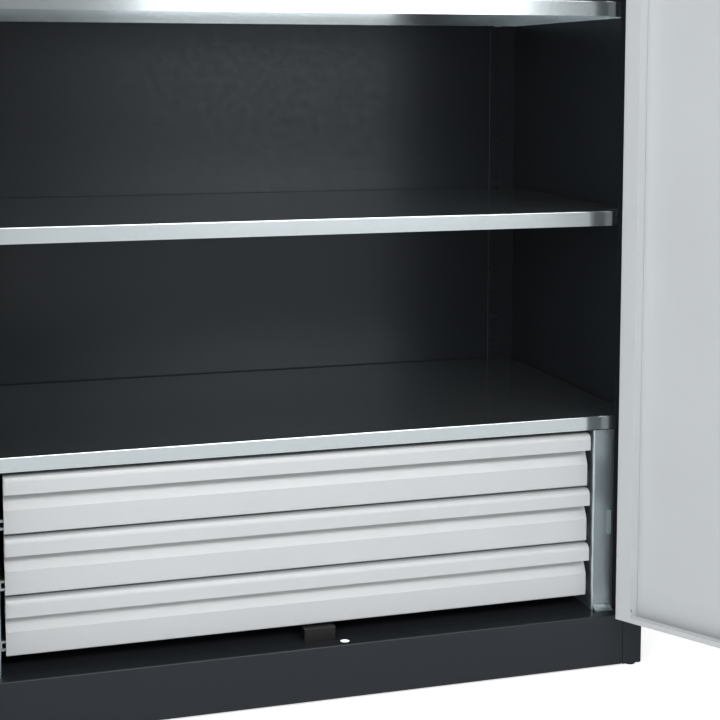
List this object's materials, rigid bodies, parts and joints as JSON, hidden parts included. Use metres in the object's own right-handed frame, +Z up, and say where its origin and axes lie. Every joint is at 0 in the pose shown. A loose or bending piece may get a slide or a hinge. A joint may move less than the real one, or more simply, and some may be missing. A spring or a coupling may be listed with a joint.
{
  "type": "double-door tool cabinet with drawers",
  "caption": "Tall steel workshop cabinet in dark grey with light grey hinged doors, adjustable galvanised shelves and full-width drawers at the bottom.",
  "frame": {"origin": "centre of the four floor-anchor holes, on the floor plane the feet stand on, below the middle of the cabinet", "axes": "+Z up, +Y from the doors towards the back wall, +X to the right as seen from the front"},
  "size_m": [1.6976, 1.116, 1.95],
  "materials": {
    "body_dark": "semi-gloss powder coat",
    "door_grey": "fine-textured powder coat",
    "drawer_grey": "satin powder coat",
    "galvanised": "smooth galvanised sheet",
    "steel": "zinc-plated",
    "black_plastic": "moulded",
    "lock_chrome": "polished"
  },
  "bodies": {
    "cabinet": {"side_panel_right": "body_dark", "side_panel_left": "body_dark", "rear_upright_right": "body_dark", "rear_upright_left": "body_dark", "front_upright_right": "body_dark", "front_upright_left": "body_dark", "back_panel": "body_dark", "roof_panel": "body_dark", "roof_front_rail": "body_dark", "plinth_front": "body_dark", "plinth_rear": "body_dark", "floor_panel": "body_dark", "corner_gussets": "steel", "levelling_feet": "black_plastic", "cover_shelf": "galvanised", "shelf_1": "galvanised", "shelf_2": "galvanised", "shelf_3": "galvanised", "shelf_clips": "steel", "door_stop_block": "black_plastic", "drawer_cheek_right": "galvanised", "drawer_cheek_left": "galvanised", "drawer_runners": "steel", "hinge_leaves_right": "steel", "hinge_leaves_left": "steel", "hinge_pins": "steel"},
    "right_door": {"right_door_skin": "door_grey", "right_door_hinge_stile": "door_grey", "right_door_lock_stile": "door_grey", "right_door_end_returns": "door_grey", "right_door_hinge_leaves": "steel", "lock_case": "steel", "rod_guides": "black_plastic", "handle_plate": "black_plastic"},
    "left_door": {"left_door_skin": "door_grey", "left_door_hinge_stile": "door_grey", "left_door_lock_stile": "door_grey", "left_door_end_returns": "door_grey", "left_door_overlap_strip": "door_grey", "left_door_hinge_leaves": "steel"},
    "handle": {"handle_lever": "black_plastic"},
    "key": {"key_cylinder": "lock_chrome"},
    "rod_lower": {"lock_rod_lower": "steel"},
    "rod_upper": {"lock_rod_upper": "steel"},
    "drawer_1": {"drawer_front_1": "drawer_grey", "drawer_tray_1": "galvanised", "drawer_rails_1": "steel"},
    "slide_1": {"slide_members_1": "steel"},
    "drawer_2": {"drawer_front_2": "drawer_grey", "drawer_tray_2": "galvanised", "drawer_rails_2": "steel"},
    "slide_2": {"slide_members_2": "steel"},
    "drawer_3": {"drawer_front_3": "drawer_grey", "drawer_tray_3": "galvanised", "drawer_rails_3": "steel"},
    "slide_3": {"slide_members_3": "steel"}
  },
  "joints": [
    {"name": "right_door_hinge", "type": "hinge", "parent": "cabinet", "child": "right_door", "pos_m": [0.562, -0.3077, 1], "axis": [0, 0, 1], "range_deg": [-121.65, 58.35]},
    {"name": "left_door_hinge", "type": "hinge", "parent": "cabinet", "child": "left_door", "pos_m": [-0.562, -0.3077, 1], "axis": [0, 0, -1], "range_deg": [-121.65, 58.35]},
    {"name": "handle_turn", "type": "hinge", "parent": "right_door", "child": "handle", "pos_m": [0.83014, -0.7427, 1.05], "axis": [0.8513, 0.5247, 0], "range_deg": [-90, 0]},
    {"name": "key_turn", "type": "hinge", "parent": "right_door", "child": "key", "pos_m": [0.83014, -0.7427, 1.098], "axis": [0.8513, 0.5247, 0], "range_deg": [0, 90]},
    {"name": "rod_lower_slide", "type": "slide", "parent": "right_door", "child": "rod_lower", "axis": [0, 0, -1], "range_m": [0, 0.014]},
    {"name": "rod_upper_slide", "type": "slide", "parent": "right_door", "child": "rod_upper", "axis": [0, 0, 1], "range_m": [0, 0.014]},
    {"name": "drawer_1_pull", "type": "slide", "parent": "cabinet", "child": "drawer_1", "axis": [0, -1, 0], "range_m": [0, 0.45]},
    {"name": "slide_1_run", "type": "slide", "parent": "cabinet", "child": "slide_1", "axis": [0, -1, 0], "range_m": [0, 0.226]},
    {"name": "drawer_2_pull", "type": "slide", "parent": "cabinet", "child": "drawer_2", "axis": [0, -1, 0], "range_m": [0, 0.45]},
    {"name": "slide_2_run", "type": "slide", "parent": "cabinet", "child": "slide_2", "axis": [0, -1, 0], "range_m": [0, 0.226]},
    {"name": "drawer_3_pull", "type": "slide", "parent": "cabinet", "child": "drawer_3", "axis": [0, -1, 0], "range_m": [0, 0.45]},
    {"name": "slide_3_run", "type": "slide", "parent": "cabinet", "child": "slide_3", "axis": [0, -1, 0], "range_m": [0, 0.226]}
  ],
  "couplings": [
    {"joint": "rod_lower_slide", "follows": "handle_turn", "m_per_rad": -0.0089},
    {"joint": "rod_upper_slide", "follows": "handle_turn", "m_per_rad": -0.0089},
    {"joint": "slide_1_run", "follows": "drawer_1_pull", "ratio": 0.5},
    {"joint": "slide_2_run", "follows": "drawer_2_pull", "ratio": 0.5},
    {"joint": "slide_3_run", "follows": "drawer_3_pull", "ratio": 0.5}
  ]
}
